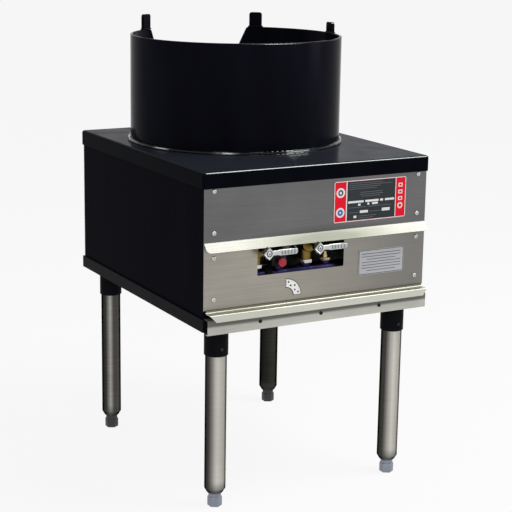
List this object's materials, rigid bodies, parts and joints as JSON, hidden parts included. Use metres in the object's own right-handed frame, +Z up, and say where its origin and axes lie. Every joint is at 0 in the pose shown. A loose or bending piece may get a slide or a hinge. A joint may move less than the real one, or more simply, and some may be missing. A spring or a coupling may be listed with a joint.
{
  "type": "wok range",
  "caption": "Free-standing gas wok range: enamelled box on tubular legs, a tall notched wok ring on top, lever gas valves behind a front window and a pull-out drip tray.",
  "frame": {"origin": "on the floor, under the middle of the top cover", "axes": "+X to the right of someone who faces the front, +Y to the back, +Z up; the front faces -Y"},
  "size_m": [0.457, 0.582, 0.8365],
  "materials": {
    "black_enamel": "gloss black enamel",
    "black_paint": "satin black paint",
    "galvanised_sheet": "zinc-coated sheet steel",
    "stainless": "brushed stainless sheet, grain across the front",
    "brushed_leg": "brushed stainless tube",
    "foot_casting": "dull grey cast metal",
    "cast_iron": "bare sand-cast iron",
    "bright_screw": "bright plated",
    "dark_screw": "black oxide",
    "bright_nut": "bright plated",
    "chrome": "polished plate",
    "brass": "turned brass, lightly tarnished",
    "die_cast": "dull die-cast body",
    "red_button": "gloss red",
    "data_plate": "screen-printed plate, left bare of text",
    "label_plate": "satin silver film, left bare of text",
    "dial_plate": "white film",
    "aluminium_tube": "soft drawn tube",
    "copper_probe": "copper lead with a steel-grey tip"
  },
  "bodies": {
    "chassis": {"back_panel": "galvanised_sheet", "back_screws": "bright_screw", "base_frame": "black_paint", "burner_cradle": "black_paint", "burner_inner": "cast_iron", "burner_outer": "cast_iron", "burner_shroud": "black_paint", "data_plate": "data_plate", "dial_plate": "dial_plate", "front_rail": "stainless", "inlet_pipe": "black_paint", "label_plate": "label_plate", "leg_front_left": "brushed_leg", "leg_front_right": "brushed_leg", "leg_rear_left": "brushed_leg", "leg_rear_right": "brushed_leg", "leg_set_screws": "dark_screw", "leg_socket_front_left": "black_paint", "leg_socket_front_right": "black_paint", "leg_socket_rear_left": "black_paint", "leg_socket_rear_right": "black_paint", "lower_front_panel": "stainless", "manifold": "black_paint", "manifold_cap": "black_paint", "manifold_saddles": "galvanised_sheet", "orifice_inner": "brass", "orifice_outer": "brass", "panel_screws": "bright_screw", "pilot_burner": "galvanised_sheet", "pilot_tube": "aluminium_tube", "pilot_valve_body": "die_cast", "pipe_elbow": "black_paint", "pressure_tap": "brass", "rail_screws": "dark_screw", "ring_post_left": "black_enamel", "ring_post_right": "black_enamel", "ring_post_side": "black_enamel", "side_panel_left": "black_enamel", "side_panel_right": "black_enamel", "thermocouple": "copper_probe", "top_cover": "black_enamel", "tray_runner_left": "galvanised_sheet", "tray_runner_right": "galvanised_sheet", "upper_front_panel": "stainless", "valve_body_inner": "brass", "valve_body_outer": "brass", "valve_nuts": "bright_nut", "wok_ring": "black_enamel"},
    "drip_tray": {"drip_tray": "stainless"},
    "lever_outer": {"valve_lever_outer": "chrome"},
    "lever_inner": {"valve_lever_inner": "chrome"},
    "button": {"pilot_button": "red_button"},
    "shutter_outer": {"air_shutter_outer": "galvanised_sheet"},
    "shutter_inner": {"air_shutter_inner": "galvanised_sheet"},
    "foot_front_left": {"foot_front_left": "foot_casting"},
    "foot_front_right": {"foot_front_right": "foot_casting"},
    "foot_rear_left": {"foot_rear_left": "foot_casting"},
    "foot_rear_right": {"foot_rear_right": "foot_casting"}
  },
  "joints": [
    {"name": "tray_slide", "type": "slide", "parent": "chassis", "child": "drip_tray", "axis": [0, -1, 0], "range_m": [0, 0.38]},
    {"name": "lever_outer_turn", "type": "hinge", "parent": "chassis", "child": "lever_outer", "pos_m": [-0.1135, -0.2795, 0.466], "axis": [0, 1, 0], "range_deg": [0, 90]},
    {"name": "lever_inner_turn", "type": "hinge", "parent": "chassis", "child": "lever_inner", "pos_m": [-0.0125, -0.2795, 0.466], "axis": [0, 1, 0], "range_deg": [0, 90]},
    {"name": "pilot_button_press", "type": "slide", "parent": "chassis", "child": "button", "axis": [0, 1, 0], "range_m": [0, 0.005], "stiffness_N_per_m": 400, "springref_m": -0.005},
    {"name": "shutter_outer_turn", "type": "hinge", "parent": "chassis", "child": "shutter_outer", "pos_m": [-0.1135, -0.19305, 0.466], "axis": [0, 1, 0], "range_deg": [0, 45]},
    {"name": "shutter_inner_turn", "type": "hinge", "parent": "chassis", "child": "shutter_inner", "pos_m": [-0.0125, -0.19305, 0.466], "axis": [0, 1, 0], "range_deg": [0, 45]},
    {"name": "foot_front_left_thread", "type": "slide", "parent": "chassis", "child": "foot_front_left", "axis": [0, 0, -1], "range_m": [0, 0.025]},
    {"name": "foot_front_right_thread", "type": "slide", "parent": "chassis", "child": "foot_front_right", "axis": [0, 0, -1], "range_m": [0, 0.025]},
    {"name": "foot_rear_left_thread", "type": "slide", "parent": "chassis", "child": "foot_rear_left", "axis": [0, 0, -1], "range_m": [0, 0.025]},
    {"name": "foot_rear_right_thread", "type": "slide", "parent": "chassis", "child": "foot_rear_right", "axis": [0, 0, -1], "range_m": [0, 0.025]}
  ]
}
